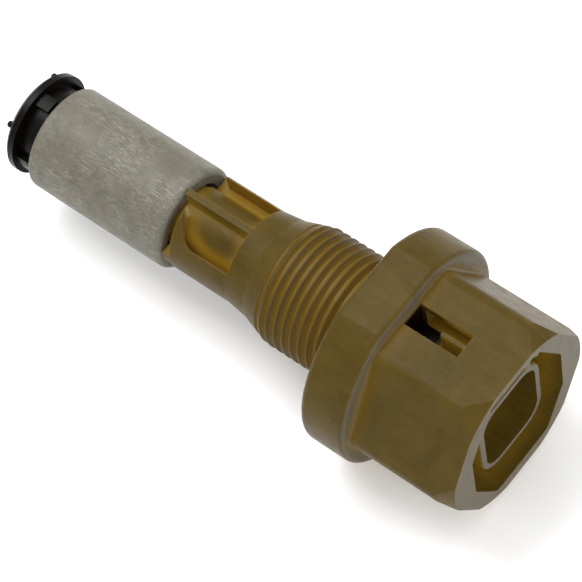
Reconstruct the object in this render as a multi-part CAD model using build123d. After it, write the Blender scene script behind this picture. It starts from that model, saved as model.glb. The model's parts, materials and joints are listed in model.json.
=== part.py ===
from build123d import *
import math
import os

# Float level switch, millimetres. +X runs along the axis and out of the connector, +Z is the outward
# normal of the hexagon flat that has the latch window. The origin is the centre of the flange's
# sealing face, so the thread, stem, float and cap lie at negative X.

# --- driving dimensions -----------------------------------------------------------------------------
CLEAR = 0.1              # gap between pieces that are assembled into each other
TINY = 0.01              # reach used to pick edges in a plane and to run cuts into each other

# connector head
HEAD_FRONT = 25.8        # front face of the hexagon
HEX_FLATS = 29.0         # across flats
HEX_LONG_EDGE = 2.6      # rounding of the hexagon's six long edges
CHAMFER_FACE_R = 15.1    # the front corners are turned down to a cone, as on a nut
CHAMFER_OUTER_R = 16.5
CHAMFER_LENGTH = 3.4
SOCKET_FLOOR = 9.0       # bottom of the moat round the inner shell
SOCKET_HALF_WIDTH = 10.6
SOCKET_TOP = 13.2
SOCKET_BOTTOM = -12.2
SOCKET_FLANK = 11.45     # the moat follows the slanted flats of the hexagon at this distance
SOCKET_CORNER = 1.8
SHELL_FRONT = 24.5
SHELL_HALF_WIDTH = 7.2
SHELL_TOP = 8.7
SHELL_BOTTOM = -8.0
SHELL_CORNER = 4.4
SHELL_EDGE = 0.3
SHELL_WALL = 1.1
SHELL_FLOOR = 11.0       # bottom of the inner cavity
WEB_OFFSET = 4.7         # centre of each web between the shell and the latch wall
WEB_THICK = 1.2
WINDOW_WIDTH = 4.0
WINDOW_REAR = 8.2
WINDOW_FRONT = 17.6
LATCH_RIB = (13.4, 20.5, 0.6, 14.0)  # start, end, width and top of the thin wall in the latch window
KEY_RIB = (7.4, 9.9, 1.3, 2.6)       # y, z, width and length of the polarising rib in one corner
KEY_BACK = 1.2           # the polarising rib stops this far behind the hexagon's front

# flange and thread, M20 x 1.5
FLANGE_R = 17.9
FLANGE_FLAT = 16.7       # distance of the two flats from the axis
FLANGE_FRONT = 7.9
FLANGE_FRONT_EDGE = 0.9
FLANGE_REAR_EDGE = 1.1
HEX_ROOT = 0.35          # fillet where the hexagon meets the flange
THREAD_R = 10.0
THREAD_PITCH = 1.5
THREAD_DEPTH = 0.92
CREST_WIDTH = 0.22
RIDGE_EMBED = 0.3        # how far the thread ridge reaches into its core
RIDGE_BASE = 1.44        # width of the ridge at that depth
UNDERCUT_R = 8.9
UNDERCUT_END = -2.4      # the undercut holds the sealing ring
RING_SEAT_R = 11.5       # recess in the sealing face that centres the ring
RING_SEAT_DEPTH = 0.5
RELIEF_REACH = 0.3       # the relief cone runs out past the crests
TIP_LAP = 0.2
THREAD_FULL = -13.3      # the thread has its full height from here to the undercut
THREAD_TIP = -17.7
TIP_R = 8.55
LEAD_IN = -21.9          # start of the cone below the thread

# ribbed stem
STEM_R = 7.9
STEM_END = -34.0         # shoulder that the float stops against
STEM_CORE_R = 5.3
RIB_THICK = 1.1
WALL_INSIDE = 6.5        # inner face of each side wall
WEB_HALF = 1.0           # half thickness of the web that carries the side walls
POCKET_CORNER = 4.5      # rounds the pocket on the -Y side where it meets the float's shoulder
WALL_END = -32.6         # the full-height side walls stop here

# reed tube
TUBE_R = 5.0
TUBE_END = -63.6
BORE_R = 2.75
BORE_END = -62.3
SPIGOT_R = 4.5
SPIGOT_START = -60.6
SPIGOT_LEAD = 0.4        # lead-in chamfer of the spigot
BEAD_R = 4.8
BEAD_AT = -62.4
BEAD_HALF = 0.35
CAVITY_R = 4.5           # wide part of the bore, behind the socket
CAVITY_END = -19.0

# float
FLOAT_R = 8.6
FLOAT_BORE_R = 6.1
FLOAT_FRONT = -34.3
FLOAT_REAR = -60.45
FLOAT_FRONT_EDGE = 0.95
FLOAT_REAR_EDGE = 0.5
FLOAT_DROP = 0.95        # the float hangs this far below the axis, and rises as far above it
MAGNET_R = 7.3
MAGNET_BORE_R = 6.25
MAGNET_FRONT = -52.4
MAGNET_REAR = -58.9

# end cap
CAP_FRONT = -60.75
CAP_REAR = -65.0
CAP_R = 8.45
CAP_RIM_FRONT = -63.4
CAP_HUB_R = 6.7
CAP_EDGE = 0.55
POST_ANGLE = 18.0        # width of each of the four posts of the cap
POST_R = 7.7
PIP_R = 0.55
PIP_OUT = 0.9
PIP_ROOT = 0.2
PIP_ROUND = 0.6          # share of the pip's radius that its end is rounded by
PIP_CIRCLE_R = 7.3

# sealing ring
RING_SECTION_R = 1.18
RING_CENTRE_R = 10.12
RING_CENTRE_X = RING_SEAT_DEPTH - RING_SECTION_R

# terminals, carrier and circuit
PIN_Y = 2.6
PIN_Z = 0.35             # the shell's mid height
PIN_WIDTH = 1.5
PIN_THICK = 0.64
PIN_TIP = 20.6
PIN_TAPER = 1.2          # length of the tapered end of each blade
PIN_BEND = 0.4
PIN_TAIL = -7.5
CARRIER_FRONT = 12.4
CARRIER_REAR = 2.0
CARRIER_SHOULDER_R = 5.4
POTTING_REAR = -9.0
BOARD_TOP = -0.8
BOARD_THICK = 0.8
BOARD_HALF = 2.0
BOARD_HEAD_HALF = 3.7
BOARD_HEAD_END = -17.5
BOARD_FRONT = -2.6
BOARD_REAR = -62.0
REED_Z = 0.6
REED_REAR = -59.8
REED_FRONT = -49.8
REED_R = 0.9
REED_INNER_R = 0.62
REED_SEAL = 1.2
REED_FOOT = 1.1          # from the glass to each lead's foot
LEAD_R = 0.22
BLADE_THICK = 0.16
BLADE_HALF = 0.4
CONTACT_GAP = 0.2
BLADE_LAP = 1.4
CUSHION_R = 1.39
CUSHION_INSET = 0.6
RESISTOR_X = -34.0
RESISTOR_R = 0.8
RESISTOR_HALF = 1.7
RESISTOR_WAIST = 0.1     # the middle is this much thinner than the end caps
RESISTOR_END = 0.9
RESISTOR_SPAN = 3.2      # from the resistor's centre to each lead's foot
SOLDER_R = 0.55
SOLDER_HIGH = 0.5


# --- helpers ----------------------------------------------------------------------------------------
def section(x):
    """A sketch plane across the axis at x, whose own axes are the object's Y and Z."""
    return Plane((x, 0, 0), x_dir=(0, 1, 0), z_dir=(1, 0, 0))


def prism(outline, x_from, x_to):
    """Extrude an outline drawn in Y and Z between two stations."""
    return extrude(section(x_from) * outline, amount=x_to - x_from)


def rod(radius, x_from, x_to, y=0.0, z=0.0):
    """A round bar along the axis."""
    return prism(Pos(y, z) * Circle(radius), min(x_from, x_to), max(x_from, x_to))


def turned(*points):
    """Turn a closed outline of (x, radius) points about the axis."""
    return revolve(make_face(Polyline(*points, close=True)), Axis.X)


def box(x_from, x_to, y_from, y_to, z_from, z_to):
    """A box between two corners."""
    size = (x_to - x_from, y_to - y_from, z_to - z_from)
    centre = ((x_from + x_to) / 2, (y_from + y_to) / 2, (z_from + z_to) / 2)
    return Pos(*centre) * Box(*size)


def rounded_outline(half_width, bottom, top, corner):
    """A rounded rectangle in Y and Z, centred across the axis."""
    height = top - bottom
    return Pos(0, (top + bottom) / 2) * RectangleRounded(2 * half_width, height, corner)


def outer_edges(solid, x, radius):
    """Edges of the solid that lie in the plane at x and reach out to a radius."""
    edges = solid.edges().filter_by_position(Axis.X, x - TINY, x + TINY)
    return [e for e in edges if math.hypot(e.center().Y, e.center().Z) > 0.5 * radius]


# --- moulded body -----------------------------------------------------------------------------------
def head():
    """Hexagon head with rounded edges, standing on the rounded flange."""
    hexagon = RegularPolygon(HEX_FLATS / 2, 6, major_radius=False)
    body = prism(hexagon, FLANGE_FRONT, HEAD_FRONT)
    body = fillet(body.edges().filter_by(Axis.X), HEX_LONG_EDGE)
    body &= turned((0, 0), (0, HEX_FLATS), (HEAD_FRONT - CHAMFER_LENGTH, HEX_FLATS),
                   (HEAD_FRONT - CHAMFER_LENGTH, CHAMFER_OUTER_R), (HEAD_FRONT, CHAMFER_FACE_R), (HEAD_FRONT, 0))
    disc = Circle(FLANGE_R) & Rectangle(3 * FLANGE_R, 2 * FLANGE_FLAT)
    flange = prism(disc, 0, FLANGE_FRONT)
    flange = fillet(outer_edges(flange, FLANGE_FRONT, FLANGE_R), FLANGE_FRONT_EDGE)
    flange = fillet(outer_edges(flange, 0, FLANGE_R), FLANGE_REAR_EDGE)
    joined = flange + body
    at_root = joined.edges().filter_by_position(Axis.X, FLANGE_FRONT - TINY, FLANGE_FRONT + TINY)
    hex_edges = [e for e in at_root if math.hypot(e.center().Y, e.center().Z) < HEX_FLATS / 2 + 2.4]
    return fillet(hex_edges, HEX_ROOT)


def socket_cut():
    """Everything that is open in the head: moat, inner cavity and latch window."""
    flanks = [Rot(0, 0, turn) * Rectangle(4 * SOCKET_FLANK, 2 * SOCKET_FLANK) for turn in (60, -60)]
    square = Pos(0, (SOCKET_TOP + SOCKET_BOTTOM) / 2) * Rectangle(2 * SOCKET_HALF_WIDTH, SOCKET_TOP - SOCKET_BOTTOM)
    moat = square & flanks[0] & flanks[1]
    moat = fillet(moat.vertices(), SOCKET_CORNER)
    shell = rounded_outline(SHELL_HALF_WIDTH, SHELL_BOTTOM, SHELL_TOP, SHELL_CORNER)
    webs = [box(SOCKET_FLOOR - 1, SHELL_FRONT, side * WEB_OFFSET - WEB_THICK / 2,
                side * WEB_OFFSET + WEB_THICK / 2, SHELL_TOP - 1, SOCKET_TOP + 1) for side in (-1, 1)]
    rib_start, rib_end, rib_width, rib_top = LATCH_RIB
    latch_rib = box(rib_start, rib_end, -rib_width / 2, rib_width / 2, SHELL_TOP - SHELL_WALL / 2, rib_top)
    key_y, key_z, key_width, key_length = KEY_RIB
    key = prism(Pos(key_y, key_z) * Rot(0, 0, 45) * Rectangle(key_length, key_width),
                SOCKET_FLOOR - 1, HEAD_FRONT - KEY_BACK)
    solid_shell = prism(shell, SOCKET_FLOOR - 1, SHELL_FRONT)
    solid_shell = fillet(outer_edges(solid_shell, SHELL_FRONT, SHELL_HALF_WIDTH), SHELL_EDGE)
    cut = prism(moat, SOCKET_FLOOR, HEAD_FRONT + 1) - solid_shell - key
    for web in webs:
        cut -= web
    inner = rounded_outline(SHELL_HALF_WIDTH - SHELL_WALL, SHELL_BOTTOM + SHELL_WALL,
                            SHELL_TOP - SHELL_WALL, SHELL_CORNER - SHELL_WALL)
    cut += prism(inner, SHELL_FLOOR, HEAD_FRONT + 1)
    window = box(WINDOW_REAR, WINDOW_FRONT, -WINDOW_WIDTH / 2, WINDOW_WIDTH / 2, SHELL_TOP, HEX_FLATS)
    return cut + window - latch_rib


def thread():
    """External thread on its core, with a tapered start and the undercut below the flange."""
    core_r = THREAD_R - THREAD_DEPTH
    full = UNDERCUT_END - THREAD_TIP
    helix = Helix(pitch=THREAD_PITCH, height=full, radius=core_r)
    profile = make_face(Polyline((-RIDGE_EMBED, -RIDGE_BASE / 2), (-RIDGE_EMBED, RIDGE_BASE / 2),
                                 (THREAD_DEPTH, CREST_WIDTH / 2), (THREAD_DEPTH, -CREST_WIDTH / 2),
                                 close=True))
    start = Plane((core_r, 0, 0), x_dir=(1, 0, 0), z_dir=(0, -1, 0))
    ridge = sweep(start * profile, path=helix, is_frenet=True)
    core = Rot(0, 0, 45) * Cylinder(core_r, full + 2 * THREAD_PITCH,
                                    align=(Align.CENTER, Align.CENTER, Align.MIN))
    screw = (Pos(0, 0, -THREAD_PITCH) * core).fuse(ridge)
    placed = section(THREAD_TIP).location * screw
    slope = (THREAD_R - TIP_R) / (THREAD_FULL - THREAD_TIP)
    beyond = 3.0
    tip = turned((THREAD_TIP - beyond, TIP_R - slope * beyond), (THREAD_FULL + beyond, THREAD_R + slope * beyond),
                 (THREAD_FULL + beyond, 2 * THREAD_R), (THREAD_TIP - beyond, 2 * THREAD_R))
    relief = turned((UNDERCUT_END, UNDERCUT_R), (UNDERCUT_END - THREAD_DEPTH, THREAD_R + RELIEF_REACH),
                    (UNDERCUT_END - THREAD_DEPTH, 2 * THREAD_R), (0, 2 * THREAD_R), (0, UNDERCUT_R))
    return placed - tip - relief + rod(UNDERCUT_R, UNDERCUT_END - THREAD_DEPTH, 1)


def stem():
    """Cone below the thread, then the ribbed stem that ends in the float's shoulder."""
    cone = turned((LEAD_IN, 0), (LEAD_IN, STEM_R), (THREAD_TIP + TIP_LAP, TIP_R - 0.05), (THREAD_TIP + TIP_LAP, 0))
    full_round = Circle(STEM_R)
    core = Circle(STEM_CORE_R) + Rectangle(RIB_THICK, 2 * STEM_R) + Rectangle(2 * STEM_R, 2 * WEB_HALF)
    ribs = prism(core & full_round, STEM_END, LEAD_IN)
    outer = rod(STEM_R, WALL_END, LEAD_IN)
    pocket = Pos((WALL_END + LEAD_IN) / 2, 0) * Rectangle(LEAD_IN - WALL_END, 2 * WALL_INSIDE)
    pocket = fillet(pocket.vertices().group_by(Axis.X)[0].sort_by(Axis.Y)[0], POCKET_CORNER)
    walls = outer - extrude(pocket, amount=2 * STEM_R, both=True)
    return cone + ribs + walls


def reed_tube():
    """Closed tube through the float, with the spigot and bead that the cap snaps over."""
    return turned((STEM_END + 1, 0), (STEM_END + 1, TUBE_R), (SPIGOT_START, TUBE_R), (SPIGOT_START, SPIGOT_R),
                  (BEAD_AT + BEAD_HALF, SPIGOT_R), (BEAD_AT, BEAD_R), (BEAD_AT - BEAD_HALF, SPIGOT_R),
                  (TUBE_END + SPIGOT_LEAD, SPIGOT_R), (TUBE_END, SPIGOT_R - SPIGOT_LEAD), (TUBE_END, 0))


def sensor_body():
    solid = head() + thread() + stem() + reed_tube()
    solid -= socket_cut()
    solid -= rod(CAVITY_R, CAVITY_END, SHELL_FLOOR + TINY)
    solid -= rod(RING_SEAT_R, -TINY, RING_SEAT_DEPTH) - rod(UNDERCUT_R, -1, 1)
    return solid - rod(BORE_R, BORE_END, CAVITY_END + TINY)


def sealing_ring():
    ring = Pos(RING_CENTRE_X, RING_CENTRE_R) * Circle(RING_SECTION_R)
    return revolve(ring, Axis.X)


# --- terminals and circuit --------------------------------------------------------------------------
def terminal(side):
    """Male blade with a chamfered tip and a stepped tail that lies on the circuit board."""
    low, high = PIN_Z - PIN_THICK / 2, PIN_Z + PIN_THICK / 2
    tail_top = BOARD_TOP + PIN_THICK
    taper = PIN_THICK / 3
    side_view = Polyline((PIN_TIP, low + taper), (PIN_TIP, high - taper), (PIN_TIP - PIN_TAPER, high),
                         (PIN_BEND - PIN_THICK, high), (PIN_BEND - PIN_THICK, tail_top),
                         (PIN_TAIL, tail_top), (PIN_TAIL, BOARD_TOP), (PIN_BEND, BOARD_TOP),
                         (PIN_BEND, low), (PIN_TIP - PIN_TAPER, low), close=True)
    blade = extrude(Plane.XZ * make_face(side_view), amount=PIN_WIDTH / 2, both=True)
    return Pos(0, side * PIN_Y, 0) * blade


def terminal_slot(side):
    """The straight passage for one blade through the carrier."""
    return box(CARRIER_REAR - 1, CARRIER_FRONT + 1, side * PIN_Y - PIN_WIDTH / 2, side * PIN_Y + PIN_WIDTH / 2,
               PIN_Z - PIN_THICK / 2, PIN_Z + PIN_THICK / 2)


def terminal_carrier():
    plug = rod(CAVITY_R - CLEAR, CARRIER_REAR, SHELL_FLOOR) + rod(CARRIER_SHOULDER_R, SHELL_FLOOR, CARRIER_FRONT)
    plug = chamfer(plug.edges().group_by(Axis.X)[-1], 0.3)
    return plug - terminal_slot(-1) - terminal_slot(1)


def circuit_board():
    """Narrow strip in the reed tube with a wider head under the terminals."""
    low = BOARD_TOP - BOARD_THICK
    strip = box(BOARD_REAR, BOARD_HEAD_END, -BOARD_HALF, BOARD_HALF, low, BOARD_TOP)
    return strip + box(BOARD_HEAD_END, BOARD_FRONT, -BOARD_HEAD_HALF, BOARD_HEAD_HALF, low, BOARD_TOP)


def bent_lead(x_inner, x_foot, z):
    """A wire that leaves a component along the axis and turns down on to the board."""
    along = rod(LEAD_R, x_inner, x_foot, z=z)
    down = Pos(x_foot, 0, BOARD_TOP) * Cylinder(LEAD_R, z - BOARD_TOP, align=(Align.CENTER, Align.CENTER, Align.MIN))
    return along + down + Pos(x_foot, 0, z) * Sphere(LEAD_R)


def reed_feet():
    return REED_REAR - REED_FOOT, REED_FRONT + REED_FOOT


def contact_middle():
    return (REED_REAR + REED_FRONT) / 2


def reed_capsule():
    """Glass tube that is melted shut round the leads at both ends."""
    glass = rod(REED_R, REED_REAR, REED_FRONT, z=REED_Z)
    glass = fillet(glass.edges(), REED_R / 2)
    glass -= rod(REED_INNER_R, REED_REAR + REED_SEAL, REED_FRONT - REED_SEAL, z=REED_Z)
    return glass - rod(LEAD_R, REED_REAR - 1, REED_FRONT + 1, z=REED_Z)


def reed_blade_fixed():
    rear_foot, _ = reed_feet()
    inner = REED_REAR + REED_SEAL
    top = REED_Z - CONTACT_GAP / 2
    blade = box(inner, contact_middle() + BLADE_LAP / 2, -BLADE_HALF, BLADE_HALF, top - BLADE_THICK, top)
    return bent_lead(inner + 0.3, rear_foot, REED_Z) + blade


def reed_blade_moving():
    """The free reed, which bends from its root beside the glass seal."""
    root = REED_FRONT - REED_SEAL - CLEAR
    low = REED_Z + CONTACT_GAP / 2
    blade = box(contact_middle() - BLADE_LAP / 2, root, -BLADE_HALF, BLADE_HALF, low, low + BLADE_THICK)
    return chamfer(blade.edges().group_by(Axis.X)[-1].filter_by(Axis.Z), 0.15)


def reed_lead():
    _, front_foot = reed_feet()
    return bent_lead(REED_FRONT - REED_SEAL, front_foot, REED_Z)


def reed_cushion():
    gap = 0.02
    sleeve = rod(CUSHION_R, REED_REAR + CUSHION_INSET, REED_FRONT - CUSHION_INSET, z=REED_Z)
    return sleeve - rod(REED_R + gap, REED_REAR, REED_FRONT, z=REED_Z)


def resistor_height():
    return BOARD_TOP + RESISTOR_R + CLEAR


def resistor_body():
    z = resistor_height()
    waist = rod(RESISTOR_R - RESISTOR_WAIST, RESISTOR_X - RESISTOR_HALF, RESISTOR_X + RESISTOR_HALF, z=z)
    ends = [rod(RESISTOR_R, RESISTOR_X + side * RESISTOR_HALF, RESISTOR_X + side * (RESISTOR_HALF - RESISTOR_END), z=z)
            for side in (-1, 1)]
    body = waist + ends[0] + ends[1]
    outside = body.edges().group_by(Axis.X)
    return fillet(outside[0] + outside[-1], 0.25)


def resistor_leads():
    z = resistor_height()
    return [bent_lead(RESISTOR_X + side * RESISTOR_HALF, RESISTOR_X + side * RESISTOR_SPAN, z)
            for side in (-1, 1)]


def solder_spots():
    """Where leads and terminal tails are soldered, as (x, y) on the board's top face."""
    tail = PIN_TAIL
    on_leads = [(x, 0.0) for x in (*reed_feet(), RESISTOR_X - RESISTOR_SPAN, RESISTOR_X + RESISTOR_SPAN)]
    return on_leads + [(tail, -PIN_Y), (tail, PIN_Y)]


def solder_joints(inserted):
    """Fillets of solder, each shaped round what it holds."""
    joints = []
    for x, y in solder_spots():
        fillet_cone = Pos(x, y, BOARD_TOP) * Cone(SOLDER_R, SOLDER_R / 2, SOLDER_HIGH,
                                                  align=(Align.CENTER, Align.CENTER, Align.MIN))
        for piece in inserted:
            fillet_cone -= piece
        joints.append(fillet_cone)
    return joints


def potting_compound(inserted):
    """Resin that closes the cavity behind the carrier."""
    fill = rod(CAVITY_R - 0.02, POTTING_REAR, CARRIER_REAR)
    for piece in inserted:
        fill -= piece
    return fill


# --- float ------------------------------------------------------------------------------------------
def hang(solid):
    """Place a piece of the float at its rest position, hanging on the reed tube."""
    return Pos(0, 0, -FLOAT_DROP) * solid


def float_body():
    shell = rod(FLOAT_R, FLOAT_REAR, FLOAT_FRONT)
    shell = fillet(shell.edges().group_by(Axis.X)[-1], FLOAT_FRONT_EDGE)
    shell = fillet(shell.edges().group_by(Axis.X)[0], FLOAT_REAR_EDGE)
    shell -= rod(FLOAT_BORE_R, FLOAT_REAR - 1, FLOAT_FRONT + 1)
    shell = chamfer(shell.edges().group_by(Axis.X)[-1], 0.3)
    return hang(shell - rod(MAGNET_R + CLEAR, FLOAT_REAR - 1, MAGNET_FRONT))


def float_magnet():
    ring = rod(MAGNET_R, MAGNET_REAR, MAGNET_FRONT) - rod(MAGNET_BORE_R, MAGNET_REAR - 1, MAGNET_FRONT + 1)
    return hang(chamfer(ring.edges(), 0.2))


def magnet_cover():
    ring = rod(MAGNET_R + CLEAR / 2, FLOAT_REAR, MAGNET_REAR)
    return hang(ring - rod(FLOAT_BORE_R, FLOAT_REAR - 1, MAGNET_REAR + 1))


# --- end cap ----------------------------------------------------------------------------------------
def end_cap():
    """Black cup with four posts, a rim and four moulded pips, snapped on to the spigot."""
    hub = rod(CAP_HUB_R, CAP_RIM_FRONT, CAP_FRONT)
    rim = rod(CAP_R, CAP_REAR, CAP_RIM_FRONT)
    rim = chamfer(rim.edges().group_by(Axis.X)[0], CAP_EDGE)
    cap = hub + rim
    spread = 2 * CAP_R * math.tan(math.radians(POST_ANGLE / 2))
    wedge = make_face(Polyline((0, 0), (2 * CAP_R, -spread), (2 * CAP_R, spread), close=True))
    post = prism(wedge & Circle(POST_R), CAP_RIM_FRONT, CAP_FRONT)
    pip = rod(PIP_R, CAP_REAR - PIP_OUT, CAP_REAR + PIP_ROOT, y=PIP_CIRCLE_R)
    pip = fillet(pip.edges().group_by(Axis.X)[0], PIP_R * PIP_ROUND)
    for quarter in range(4):
        cap += Rot(90 * quarter, 0, 0) * post
        cap += Rot(90 * quarter + 45, 0, 0) * pip
    cup = turned((CAP_FRONT + 1, 0), (CAP_FRONT + 1, SPIGOT_R + CLEAR), (BEAD_AT + BEAD_HALF, SPIGOT_R + CLEAR),
                 (BEAD_AT, BEAD_R + CLEAR), (BEAD_AT - BEAD_HALF, SPIGOT_R + CLEAR),
                 (TUBE_END - CLEAR, SPIGOT_R + CLEAR), (TUBE_END - CLEAR, 0))
    return cap - cup


# --- write the model --------------------------------------------------------------------------------
def main():
    terminals = {-1: terminal(-1), 1: terminal(1)}
    board = circuit_board()
    leads = resistor_leads()
    soldered = [*terminals.values(), reed_blade_fixed(), reed_lead(), *leads]
    joints = solder_joints(soldered)
    nodes = {
        "sensor_body": sensor_body(),
        "sealing_ring": sealing_ring(),
        "terminal_carrier": terminal_carrier(),
        "terminal_left": terminals[1],
        "terminal_right": terminals[-1],
        "potting_compound": potting_compound([*terminals.values(), board, *joints]),
        "circuit_board": board,
        "resistor_body": resistor_body(),
        "resistor_leads": Compound(children=[lead.solid() for lead in leads]),
        "solder_joints": Compound(children=[s for joint in joints for s in joint.solids()]),
        "reed_capsule": reed_capsule(),
        "reed_cushion": reed_cushion(),
        "reed_blade_fixed": reed_blade_fixed(),
        "reed_blade_moving": reed_blade_moving(),
        "reed_lead": reed_lead(),
        "float_body": float_body(),
        "float_magnet": float_magnet(),
        "magnet_cover": magnet_cover(),
        "end_cap": end_cap(),
    }
    os.makedirs("parts", exist_ok=True)
    for name, shape in nodes.items():
        export_step(shape, f"parts/{name}.step")


main()
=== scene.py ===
import json
import math

import bpy
from mathutils import Matrix, Vector


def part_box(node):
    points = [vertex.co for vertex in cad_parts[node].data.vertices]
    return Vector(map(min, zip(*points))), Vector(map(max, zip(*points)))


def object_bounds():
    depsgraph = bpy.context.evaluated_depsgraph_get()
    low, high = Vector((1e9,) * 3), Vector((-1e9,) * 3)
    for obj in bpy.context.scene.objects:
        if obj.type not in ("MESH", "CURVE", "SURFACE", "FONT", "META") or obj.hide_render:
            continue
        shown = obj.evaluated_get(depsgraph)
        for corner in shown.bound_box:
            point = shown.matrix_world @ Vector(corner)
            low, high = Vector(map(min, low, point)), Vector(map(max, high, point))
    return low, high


# Looks of the float level switch. Everything is in metres in the frame of the CAD model: +X along the
# axis and out of the connector, +Z the normal of the hexagon flat with the latch window.

MM = 0.001

# --- camera, as azimuth round the object, elevation above its level, and roll about the line of sight ----
VIEW_AZIMUTH = 50.23
VIEW_ELEVATION = 60.49
VIEW_ROLL = -13.75
VIEW_DISTANCE = 408 * MM
VIEW_AIM = (-10.29 * MM, -5.04 * MM, 9.34 * MM)
LENS = 175.75
SENSOR = 36.0

# --- latch window of the body, in millimetres, for the painted shade in its rear end -----------------------
WINDOW_HALF = 2.0
WINDOW_REAR = 8.1
WINDOW_SHADE_END = 14.0
WINDOW_SHADE_RAMP = 2.5
WINDOW_FLOOR = 8.7
WINDOW_FLOOR_RAMP = 0.5
WINDOW_RIM = 14.5
WINDOW_RIM_RAMP = 0.9

# --- studio ----------------------------------------------------------------------------------------------
FLOOR_SIZE = 2.4
SKY_STRENGTH = 1.05
LAMPS = {                # place and size in metres, power in watts; each one faces the origin
    "key": ((-0.16, 0.03, 0.34), (0.26, 0.20), 1.25),
    "front_fill": ((0.34, -0.06, 0.12), (0.20, 0.20), 0.6),
}
CLIP_START = 10 * MM
CLIP_END = 20


# --- node graph helper -----------------------------------------------------------------------------------
class Graph:
    """A material's node tree, with short calls for the nodes that the finishes share."""

    def __init__(self, name):
        self.material = bpy.data.materials.new(name)
        self.material.use_nodes = True
        self.tree = self.material.node_tree
        self.tree.nodes.clear()
        self.shader = self.add("ShaderNodeBsdfPrincipled")
        output = self.add("ShaderNodeOutputMaterial")
        self.tree.links.new(self.shader.outputs[0], output.inputs["Surface"])
        self.place = self.add("ShaderNodeTexCoord")
        scale = self.add("ShaderNodeVectorMath", operation="SCALE")
        scale.inputs["Scale"].default_value = 1 / MM
        self.tree.links.new(self.place.outputs["Object"], scale.inputs[0])
        self.mm = scale.outputs[0]

    def add(self, kind, **settings):
        node = self.tree.nodes.new(kind)
        for key, value in settings.items():
            setattr(node, key, value)
        return node

    def feed(self, socket, value):
        """Link an output, or set a plain value."""
        if isinstance(value, bpy.types.NodeSocket):
            self.tree.links.new(value, socket)
        else:
            socket.default_value = value

    def stretched(self, factors, turn=(0, 0, 0)):
        """The position in millimetres, turned and then scaled along each axis."""
        node = self.add("ShaderNodeMapping")
        self.feed(node.inputs["Vector"], self.mm)
        node.inputs["Rotation"].default_value = [math.radians(a) for a in turn]
        node.inputs["Scale"].default_value = factors
        return node.outputs[0]

    def noise(self, scale, detail=3.0, rough=0.55, vector=None, distortion=0.0):
        """Noise from 0 to 1; scale is in features per millimetre."""
        node = self.add("ShaderNodeTexNoise")
        self.feed(node.inputs["Vector"], vector or self.mm)
        node.inputs["Scale"].default_value = scale
        node.inputs["Detail"].default_value = detail
        node.inputs["Roughness"].default_value = rough
        node.inputs["Distortion"].default_value = distortion
        return node.outputs["Fac"]

    def cells(self, scale):
        """Distance to the nearest of randomly placed points."""
        node = self.add("ShaderNodeTexVoronoi")
        self.feed(node.inputs["Vector"], self.mm)
        node.inputs["Scale"].default_value = scale
        return node.outputs["Distance"]

    def remap(self, value, low, high, to_low=0.0, to_high=1.0, smooth=False):
        node = self.add("ShaderNodeMapRange", interpolation_type="SMOOTHSTEP" if smooth else "LINEAR")
        for socket, number in zip(node.inputs[:5], (value, low, high, to_low, to_high)):
            self.feed(socket, number)
        return node.outputs["Result"]

    def math(self, operation, a, b=0.0):
        node = self.add("ShaderNodeMath", operation=operation)
        self.feed(node.inputs[0], a)
        self.feed(node.inputs[1], b)
        return node.outputs[0]

    def blend(self, factor, a, b):
        node = self.add("ShaderNodeMix", data_type="RGBA")
        self.feed(node.inputs[0], factor)
        self.feed(node.inputs[6], a)
        self.feed(node.inputs[7], b)
        return node.outputs[2]

    def edges(self, radius_mm, low=0.02, high=0.25):
        """1 on sharp outer and inner edges, 0 on flat or gently curved faces."""
        bevel = self.add("ShaderNodeBevel", samples=6)
        bevel.inputs["Radius"].default_value = radius_mm * MM
        geometry = self.add("ShaderNodeNewGeometry")
        dot = self.add("ShaderNodeVectorMath", operation="DOT_PRODUCT")
        self.feed(dot.inputs[0], bevel.outputs[0])
        self.feed(dot.inputs[1], geometry.outputs["Normal"])
        return self.remap(dot.outputs["Value"], 1 - low * 0.1, 1 - high, 0.0, 1.0)

    def shut_in(self, distance_mm):
        """1 in the open, towards 0 in corners and cavities."""
        node = self.add("ShaderNodeAmbientOcclusion", samples=8)
        node.inputs["Distance"].default_value = distance_mm * MM
        return node.outputs["AO"]

    def bump(self, height, depth_mm):
        """Relief of the height given, added on top of any relief already there."""
        node = self.add("ShaderNodeBump")
        node.inputs["Strength"].default_value = 1.0
        node.inputs["Distance"].default_value = depth_mm * MM
        self.feed(node.inputs["Height"], height)
        normal = self.shader.inputs["Normal"]
        if normal.is_linked:
            self.tree.links.new(normal.links[0].from_socket, node.inputs["Normal"])
        self.tree.links.new(node.outputs[0], normal)

    def set(self, **values):
        for name, value in values.items():
            self.feed(self.shader.inputs[name.replace("_", " ")], value)


def tone(red, green, blue):
    return (red, green, blue, 1.0)


# --- finishes --------------------------------------------------------------------------------------------
def window_painted_shade(g):
    """Mask of the painted shade: 1 in the deep rear end of the latch window, 0 elsewhere."""
    axis = g.add("ShaderNodeSeparateXYZ")
    g.feed(axis.inputs[0], g.mm)
    along = g.remap(axis.outputs[0], WINDOW_SHADE_END - WINDOW_SHADE_RAMP, WINDOW_SHADE_END, 1.0, 0.0)
    across = g.remap(g.math("ABSOLUTE", axis.outputs[1]), WINDOW_HALF - 0.01, WINDOW_HALF + 0.05, 1.0, 0.0)
    along = g.math("MULTIPLY", along, g.remap(axis.outputs[0], WINDOW_REAR - 0.1, WINDOW_REAR, 0.0, 1.0))
    below = g.remap(axis.outputs[2], WINDOW_RIM - WINDOW_RIM_RAMP, WINDOW_RIM, 1.0, 0.0)
    above = g.remap(axis.outputs[2], WINDOW_FLOOR - WINDOW_FLOOR_RAMP, WINDOW_FLOOR, 0.0, 1.0)
    return g.math("MULTIPLY", g.math("MULTIPLY", along, across), g.math("MULTIPLY", below, above))


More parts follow.
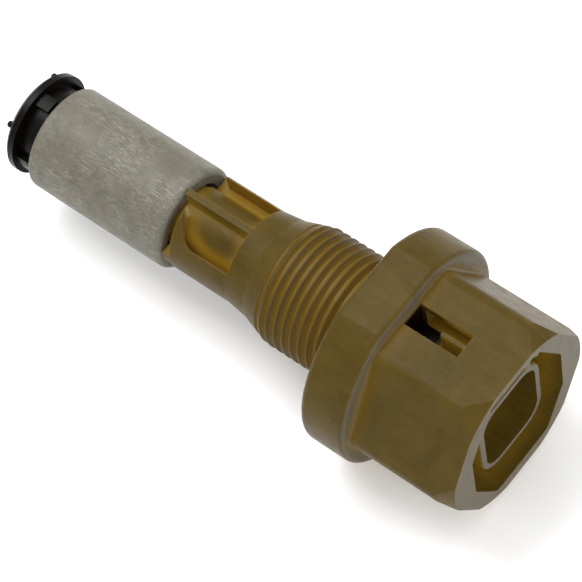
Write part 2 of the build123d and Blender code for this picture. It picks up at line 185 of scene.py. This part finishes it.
def moulded_tan():
    """Glass-filled polyamide: warm tan with cloudy flow marks, fine fibre speckle and a soft gloss, with
    painted light: a golden glow in corners and cavities, a grey reflection on faces turned to +X, near-black
    shade in the rear of the latch window, and sharp edges lighter partly as wear and partly as a painted
    highlight.
    """
    g = Graph("body_plastic")
    cloud = g.noise(0.16, detail=4, distortion=0.6)
    colour = g.blend(g.remap(cloud, 0.32, 0.68), tone(0.049, 0.030, 0.0025), tone(0.070, 0.044, 0.0055))
    flow = g.noise(1.0, detail=4, vector=g.stretched((0.12, 0.9, 0.9)), distortion=0.4)
    colour = g.blend(g.remap(flow, 0.35, 0.7, 0.0, 0.35), colour, tone(0.078, 0.053, 0.011))
    fibre = g.noise(5.0, detail=2, rough=0.7, vector=g.stretched((0.35, 1.3, 1.3), turn=(0, 0, 12)))
    colour = g.blend(g.remap(fibre, 0.52, 0.8, 0.0, 0.30), colour, tone(0.130, 0.098, 0.034))
    # painted glow: a bright golden colour in corners and cavities within about 3 mm, standing in for light
    # glowing through the plastic
    painted_glow_openness_near = g.remap(g.shut_in(3.0), 0.28, 0.95)
    colour = g.blend(painted_glow_openness_near, g.blend(0.85, colour, tone(0.215, 0.127, 0.014)), colour)
    # painted glow: a still brighter golden colour deep in cavities within about 11 mm, and also where the
    # surface comes near the floor
    painted_glow_openness_far = g.remap(g.shut_in(11.0), 0.18, 0.62)
    colour = g.blend(painted_glow_openness_far, tone(0.30, 0.175, 0.016), colour)
    # painted reflection: a grey sheen on faces turned towards +X, kept out of corners and cavities
    facing = g.add("ShaderNodeSeparateXYZ")
    g.feed(facing.inputs[0], g.place.outputs["Normal"])
    bloom_and_painted_sheen = g.remap(facing.outputs[0], 0.45, 0.95, 0.0, 0.72, smooth=True)
    bloom_and_painted_sheen = g.math("MULTIPLY", bloom_and_painted_sheen, painted_glow_openness_near)
    colour = g.blend(bloom_and_painted_sheen, colour, tone(0.088, 0.080, 0.062))
    # painted shade: near-black colour in the deep rear end of the latch window
    colour = g.blend(window_painted_shade(g), colour, tone(0.004, 0.0012, 0.0002))
    # lighter sharp edges: partly edge wear, partly a painted highlight
    edge_wear_and_painted_highlight = g.math("MULTIPLY", g.edges(0.22), g.remap(g.noise(0.9, detail=3), 0.35, 0.65, 0.25, 1.0))
    colour = g.blend(g.math("MULTIPLY", edge_wear_and_painted_highlight, 0.30), colour, tone(0.17, 0.135, 0.070))
    g.set(Base_Color=colour, IOR=1.53, Specular_IOR_Level=0.07)
    g.set(Subsurface_Weight=0.25, Subsurface_Scale=1.0 * MM)
    g.shader.inputs["Subsurface Radius"].default_value = (1.0, 0.62, 0.25)
    gloss = g.remap(g.noise(0.5, detail=5), 0.3, 0.7, 0.30, 0.42)
    g.set(Roughness=g.math("ADD", gloss, g.remap(fibre, 0.4, 0.8, 0.0, 0.08)))
    g.bump(g.noise(1.1, detail=3), 0.022)
    g.bump(g.noise(7.0, detail=3), 0.005)
    g.bump(fibre, 0.004)
    return g.material


def foam_skin():
    """Foamed float: grey-white satin skin with cloudy patches and fine fibrous scratches."""
    g = Graph("float_foam")
    cloud = g.noise(0.35, detail=5, rough=0.6, distortion=0.5)
    colour = g.blend(g.remap(cloud, 0.32, 0.68), tone(0.088, 0.081, 0.060), tone(0.128, 0.118, 0.091))
    grain = g.noise(1.7, detail=4, rough=0.65)
    colour = g.blend(g.remap(grain, 0.35, 0.7, 0.0, 0.35), colour, tone(0.098, 0.090, 0.066))
    worn = g.remap(g.noise(0.16, detail=3), 0.40, 0.60, 0.12, 1.0)
    relief = g.remap(grain, 0.3, 0.75)
    for turn in ((0, 0, 18), (0, 0, -34), (62, 0, 70), (35, 20, 8)):
        scratch = g.noise(2.4, detail=2, vector=g.stretched((0.30, 2.3, 2.3), turn=turn), distortion=0.3)
        mark = g.math("MULTIPLY", g.remap(scratch, 0.58, 0.70), worn)
        colour = g.blend(g.math("MULTIPLY", mark, 0.36), colour, tone(0.34, 0.325, 0.275))
        relief = g.math("ADD", relief, g.math("MULTIPLY", mark, 0.7))
    g.set(Base_Color=colour, IOR=1.5, Specular_IOR_Level=0.22)
    g.set(Subsurface_Weight=0.12, Subsurface_Scale=0.8 * MM)
    g.set(Roughness=g.remap(g.noise(1.6, detail=4), 0.3, 0.7, 0.36, 0.55))
    g.bump(relief, 0.012)
    g.bump(g.noise(0.5, detail=3), 0.05)
    return g.material


def black_cap():
    """Moulded black plastic with a slightly dusty gloss; its sharp edges are lighter, partly from wear and
    partly as a painted highlight.
    """
    g = Graph("cap_plastic")
    dust = g.remap(g.noise(1.4, detail=6, rough=0.7), 0.5, 0.78, 0.0, 0.35)
    colour = g.blend(dust, tone(0.0014, 0.0011, 0.0008), tone(0.011, 0.010, 0.007))
    # lighter sharp edges: partly edge wear, partly a painted highlight
    edge_wear_and_painted_highlight = g.math("MULTIPLY", g.edges(0.18), g.remap(g.noise(1.2, detail=3), 0.4, 0.65, 0.2, 1.0))
    colour = g.blend(g.math("MULTIPLY", edge_wear_and_painted_highlight, 0.5), colour, tone(0.026, 0.024, 0.019))
    g.set(Base_Color=colour, IOR=1.52, Specular_IOR_Level=0.09)
    g.set(Roughness=g.remap(g.noise(1.0, detail=4), 0.3, 0.7, 0.24, 0.40))
    g.bump(g.noise(1.6, detail=3), 0.02)
    g.bump(g.noise(8.0, detail=2), 0.004)
    return g.material


def rubber(name, dark, light, rough=0.6):
    g = Graph(name)
    bloom_and_painted_sheen = g.remap(g.noise(1.1, detail=5, rough=0.65), 0.42, 0.75)
    g.set(Base_Color=g.blend(bloom_and_painted_sheen, dark, light), IOR=1.5)
    g.set(Roughness=g.remap(g.noise(2.5, detail=4), 0.3, 0.7, rough - 0.12, rough + 0.12))
    g.bump(g.noise(6.0, detail=4), 0.008)
    return g.material


def plain_plastic(name, dark, light, rough, relief_mm):
    g = Graph(name)
    cloud = g.remap(g.noise(0.8, detail=5), 0.35, 0.65)
    g.set(Base_Color=g.blend(cloud, dark, light), IOR=1.52)
    g.set(Roughness=g.remap(g.noise(1.5, detail=4), 0.3, 0.7, rough - 0.08, rough + 0.08))
    g.bump(g.noise(4.0, detail=3), relief_mm)
    return g.material


def metal(name, dark, light, rough, along=(0.3, 4.0, 4.0)):
    """Plated or drawn metal with fine lines along one direction and cloudy tarnish."""
    g = Graph(name)
    lines = g.noise(3.0, detail=3, vector=g.stretched(along))
    tarnish = g.remap(g.noise(0.9, detail=5, rough=0.65), 0.4, 0.75)
    g.set(Base_Color=g.blend(tarnish, light, dark), Metallic=1.0)
    gloss = g.remap(lines, 0.3, 0.7, rough - 0.07, rough + 0.07)
    g.set(Roughness=g.math("ADD", gloss, g.math("MULTIPLY", tarnish, 0.1)))
    g.bump(lines, 0.003)
    return g.material


def laminate():
    """Green coated board with a faint glass weave."""
    g = Graph("board_laminate")
    weave = g.math("MULTIPLY", g.math("SINE", g.noise(0.6, detail=1)), g.noise(9.0, detail=1))
    colour = g.blend(g.remap(weave, 0.15, 0.4), tone(0.008, 0.07, 0.022), tone(0.018, 0.13, 0.045))
    g.set(Base_Color=colour, IOR=1.5, Roughness=g.remap(g.noise(2.0), 0.3, 0.7, 0.22, 0.34))
    g.bump(weave, 0.01)
    return g.material


def banded_lacquer():
    """Beige resistor lacquer with four colour bands along its length."""
    g = Graph("resistor_coat")
    axis = g.add("ShaderNodeSeparateXYZ")
    g.feed(axis.inputs[0], g.mm)
    low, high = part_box("resistor_body")
    start, length = low.x / MM, (high.x - low.x) / MM
    cloud = g.remap(g.noise(1.5, detail=4), 0.35, 0.65)
    colour = g.blend(cloud, tone(0.46, 0.33, 0.18), tone(0.56, 0.43, 0.26))
    bands = {0.16: tone(0.20, 0.07, 0.02), 0.34: tone(0.01, 0.01, 0.01), 0.52: tone(0.60, 0.12, 0.01),
             0.82: tone(0.50, 0.36, 0.10)}
    for share, paint in bands.items():
        away = g.math("ABSOLUTE", g.math("SUBTRACT", axis.outputs[0], start + share * length))
        colour = g.blend(g.remap(away, 0.13, 0.17, 1.0, 0.0), colour, paint)
    g.set(Base_Color=colour, IOR=1.5, Roughness=g.remap(g.noise(2.0), 0.3, 0.7, 0.28, 0.40))
    g.bump(g.noise(2.5), 0.02)
    return g.material


def clear_glass():
    g = Graph("reed_glass")
    seeds = g.remap(g.cells(1.4), 0.05, 0.12, 1.0, 0.0)
    g.set(Base_Color=g.blend(seeds, tone(0.78, 0.93, 0.84), tone(0.95, 1.0, 0.97)))
    g.set(IOR=1.47, Transmission_Weight=1.0, Roughness=g.remap(g.noise(1.0), 0.3, 0.7, 0.02, 0.06))
    return g.material


def finishes():
    """One material for each slot of the record; each colour pair is a dark and a light tone."""
    return {
        "body_plastic": moulded_tan(),
        "float_foam": foam_skin(),
        "cap_plastic": black_cap(),
        "seal_rubber": rubber("seal_rubber", tone(0.008, 0.008, 0.009), tone(0.022, 0.021, 0.020)),
        "cushion_rubber": rubber("cushion_rubber", tone(0.40, 0.39, 0.36), tone(0.56, 0.55, 0.52),
                                 rough=0.45),
        "carrier_plastic": plain_plastic("carrier_plastic", tone(0.020, 0.017, 0.014),
                                         tone(0.038, 0.033, 0.028), 0.48, 0.010),
        "potting_resin": plain_plastic("potting_resin", tone(0.006, 0.006, 0.007),
                                       tone(0.016, 0.015, 0.014), 0.22, 0.040),
        "magnet_ferrite": plain_plastic("magnet_ferrite", tone(0.025, 0.025, 0.028),
                                        tone(0.055, 0.053, 0.055), 0.55, 0.015),
        "terminal_metal": metal("terminal_metal", tone(0.55, 0.47, 0.33), tone(0.80, 0.77, 0.70), 0.26),
        "lead_wire": metal("lead_wire", tone(0.50, 0.50, 0.50), tone(0.74, 0.74, 0.74), 0.24),
        "solder_metal": metal("solder_metal", tone(0.52, 0.52, 0.54), tone(0.80, 0.80, 0.82), 0.18,
                              along=(1, 1, 1)),
        "reed_metal": metal("reed_metal", tone(0.42, 0.39, 0.34), tone(0.62, 0.60, 0.55), 0.30),
        "board_laminate": laminate(),
        "resistor_coat": banded_lacquer(),
        "reed_glass": clear_glass(),
    }


def dress(frame):
    """Give every CAD node the detailed finish of its material slot."""
    materials = finishes()
    for part in frame["record"]["subparts"]:
        node = frame["nodes"][part["node"]]
        for slot in node.material_slots:
            slot.material = materials[part["material_slot"]]


# --- studio ----------------------------------------------------------------------------------------------
def camera():
    azimuth, elevation, roll = (math.radians(a) for a in (VIEW_AZIMUTH, VIEW_ELEVATION, VIEW_ROLL))
    level = Vector((math.cos(azimuth), math.sin(azimuth), 0))
    away = Vector((math.sin(azimuth) * math.cos(elevation), -math.cos(azimuth) * math.cos(elevation),
                   math.sin(elevation)))
    upright = away.cross(level)
    right = level * math.cos(roll) + upright * math.sin(roll)
    up = away.cross(right)
    data = bpy.data.cameras.new("photo_view")
    data.lens = LENS
    data.sensor_width = SENSOR
    data.clip_start = CLIP_START
    data.clip_end = CLIP_END
    view = bpy.data.objects.new("photo_view", data)
    place = Matrix((right, up, away)).transposed().to_4x4()
    place.translation = Vector(VIEW_AIM) + away * VIEW_DISTANCE
    view.matrix_world = place
    bpy.context.scene.collection.objects.link(view)
    bpy.context.scene.camera = view


def floor(height):
    half = FLOOR_SIZE / 2
    mesh = bpy.data.meshes.new("floor")
    corners = [(-half, -half, height), (half, -half, height), (half, half, height), (-half, half, height)]
    mesh.from_pydata(corners, [], [(0, 1, 2, 3)])
    plane = bpy.data.objects.new("floor", mesh)
    bpy.context.scene.collection.objects.link(plane)
    g = Graph("floor_paper")
    cloud = g.remap(g.noise(0.02), 0.3, 0.7)
    g.set(Base_Color=g.blend(cloud, tone(0.90, 0.90, 0.90), tone(0.93, 0.93, 0.93)))
    g.set(Roughness=0.9)
    mesh.materials.append(g.material)


def lamp(name, place, size, power):
    data = bpy.data.lights.new(name, "AREA")
    data.shape = "RECTANGLE"
    data.size, data.size_y = size
    data.energy = power
    light = bpy.data.objects.new(name, data)
    light.location = place
    light.rotation_euler = Vector(place).to_track_quat("Z", "Y").to_euler()
    bpy.context.scene.collection.objects.link(light)


def studio(low):
    floor(low.z)
    world = bpy.data.worlds.new("studio")
    world.use_nodes = True
    world.node_tree.nodes["Background"].inputs["Color"].default_value = (1, 1, 1, 1)
    world.node_tree.nodes["Background"].inputs["Strength"].default_value = SKY_STRENGTH
    bpy.context.scene.world = world
    for name, (place, size, power) in LAMPS.items():
        lamp(name, place, size, power)
    scene = bpy.context.scene
    scene.view_settings.view_transform = "Standard"
    scene.view_settings.look = "None"


# --- build ---------------------------------------------------------------------------------------------
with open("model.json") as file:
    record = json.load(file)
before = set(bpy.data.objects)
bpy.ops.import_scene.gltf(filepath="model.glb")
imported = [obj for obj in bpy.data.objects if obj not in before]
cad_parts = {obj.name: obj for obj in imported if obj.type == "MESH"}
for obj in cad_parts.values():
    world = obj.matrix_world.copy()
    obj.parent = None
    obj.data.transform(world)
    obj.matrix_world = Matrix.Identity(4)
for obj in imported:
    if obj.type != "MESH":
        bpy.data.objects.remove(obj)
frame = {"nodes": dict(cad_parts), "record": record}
cad_low, cad_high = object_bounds()
dress(frame)
camera()
studio(cad_low)
